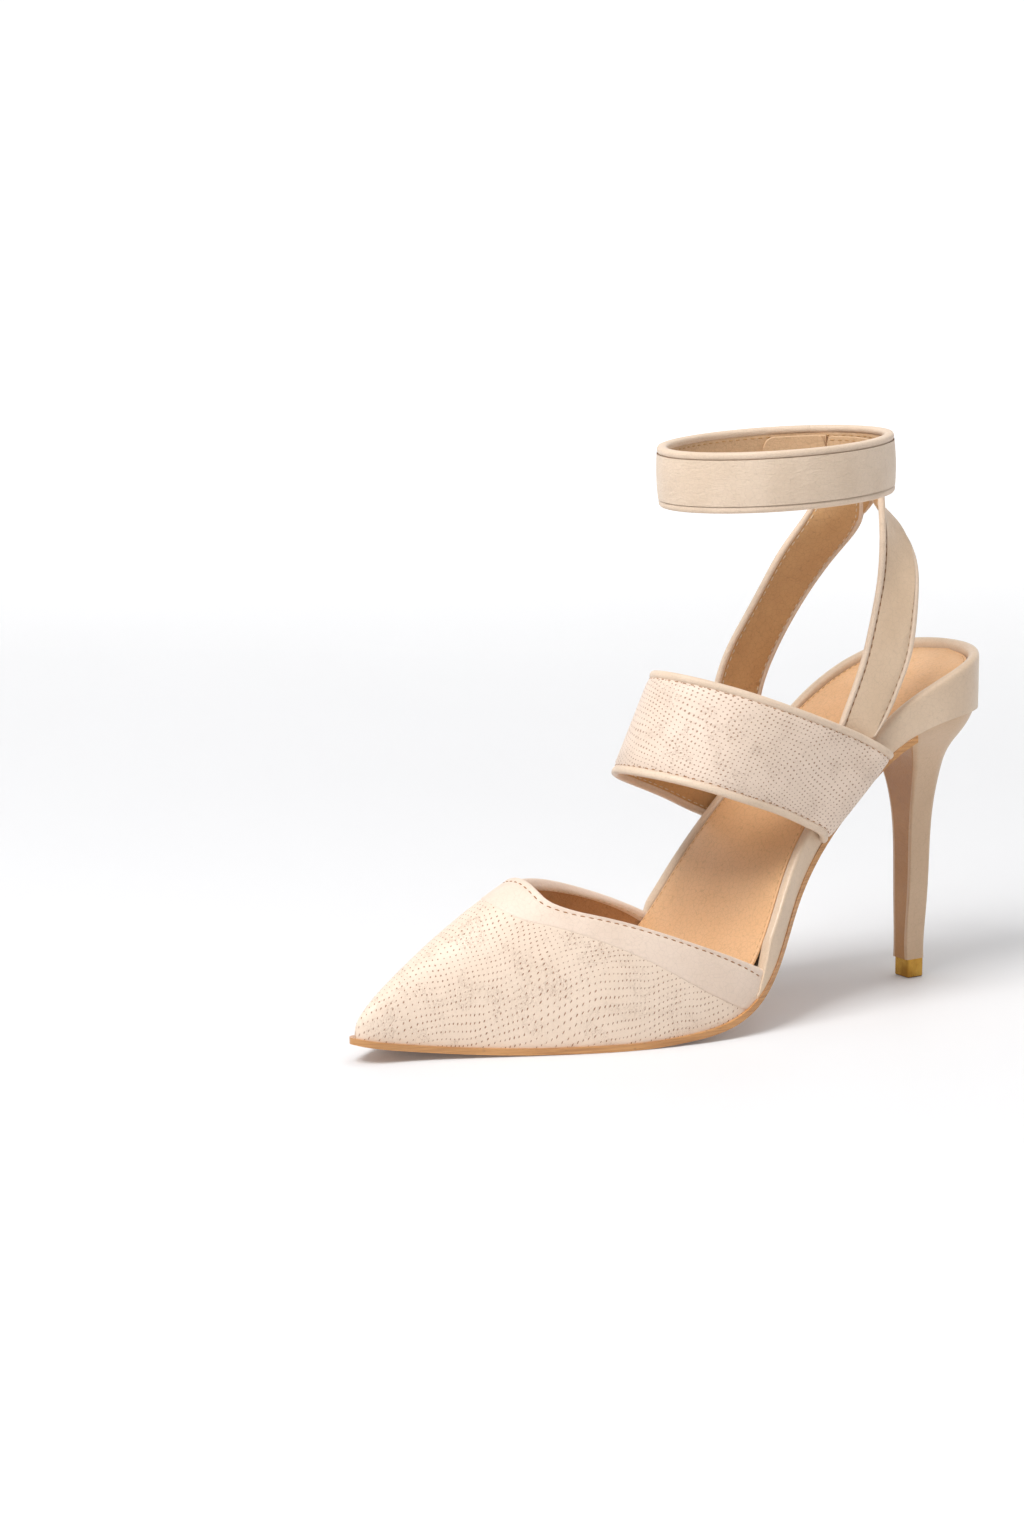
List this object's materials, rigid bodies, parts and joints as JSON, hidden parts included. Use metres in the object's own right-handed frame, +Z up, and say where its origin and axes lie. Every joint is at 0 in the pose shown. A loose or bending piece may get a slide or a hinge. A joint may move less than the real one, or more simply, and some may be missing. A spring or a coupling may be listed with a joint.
{
  "type": "high heel pump",
  "caption": "Pointed high heel pump with open sides, a wide instep strap, two back slings meeting at a closed ankle band, and a slim covered stiletto heel.",
  "frame": {"origin": "on the ground, in the face of the heel's top lift", "axes": "+Z up; -Y from the heel to the toe tip; +X to the outer side of this left shoe"},
  "size_m": [0.0729, 0.2251, 0.1794],
  "materials": {
    "embossed_leather": "beige leather with a fine reptile-like emboss, semi-matt",
    "band_leather": "smooth beige leather, semi-matt",
    "edge_leather": "beige leather rolled over and stitched along the edge",
    "lining_leather": "golden tan lining leather, matt",
    "sock_leather": "tan sock leather, matt",
    "rim_leather": "beige leather pulled tight round the insole",
    "sole_leather": "tan sole leather, waxed edge",
    "heel_leather": "beige leather glued round the heel",
    "breast_leather": "golden brown leather on the heel breast",
    "brass": "polished brass",
    "lift_plastic": "hard brown polyurethane",
    "heel_plastic": "moulded plastic heel, hidden under its cover",
    "steel": "plain steel",
    "board": "fibre insole board and fillers",
    "foam": "thin foam padding",
    "tape": "nylon hook and loop tape"
  },
  "bodies": {
    "shoe": {"vamp_forepart": "embossed_leather", "vamp_topline_band": "band_leather", "toe_puff": "board", "vamp_interlining": "board", "vamp_lining": "lining_leather", "outsole": "sole_leather", "bottom_filler": "board", "shank_spring": "steel", "rim_wrap": "rim_leather", "heel_tube": "steel", "heel_screw": "steel", "heel_nails": "steel", "heel_core": "heel_plastic", "heel_breast_cover": "breast_leather", "heel_cover": "heel_leather", "insole_board": "board", "sock_padding": "foam", "sock_lining": "sock_leather", "heel_ferrule": "brass", "top_lift": "lift_plastic", "lift_pin": "steel", "instep_strap_leather": "embossed_leather", "instep_strap_lining": "lining_leather", "instep_strap_front_edge": "edge_leather", "instep_strap_rear_edge": "edge_leather"},
    "collar": {"outer_sling_leather": "band_leather", "outer_sling_lining": "lining_leather", "outer_sling_front_edge": "edge_leather", "outer_sling_rear_edge": "edge_leather", "inner_sling_leather": "band_leather", "inner_sling_lining": "lining_leather", "inner_sling_front_edge": "edge_leather", "inner_sling_rear_edge": "edge_leather", "band_leather": "band_leather", "band_padding": "foam", "band_lining": "lining_leather", "band_lower_edge": "edge_leather", "band_upper_edge": "edge_leather", "closure_tab": "lining_leather", "tab_root": "lining_leather", "loop_tape": "tape", "sling_patch": "lining_leather"},
    "ankle_flap": {"flap_leather": "band_leather", "flap_padding": "foam", "flap_lining": "lining_leather", "flap_lower_edge": "edge_leather", "flap_upper_edge": "edge_leather", "hook_tape": "tape"}
  },
  "joints": [
    {"name": "collar_tilt", "type": "hinge", "parent": "shoe", "child": "collar", "pos_m": [0, -0.046, 0.084], "axis": [-1, 0, 0], "range_deg": [-8, 10]},
    {"name": "flap_fold", "type": "hinge", "parent": "collar", "child": "ankle_flap", "pos_m": [-0.00117, -0.09622, 0.15712], "axis": [0, -0.0506, 0.9987], "range_deg": [0, 110]}
  ]
}
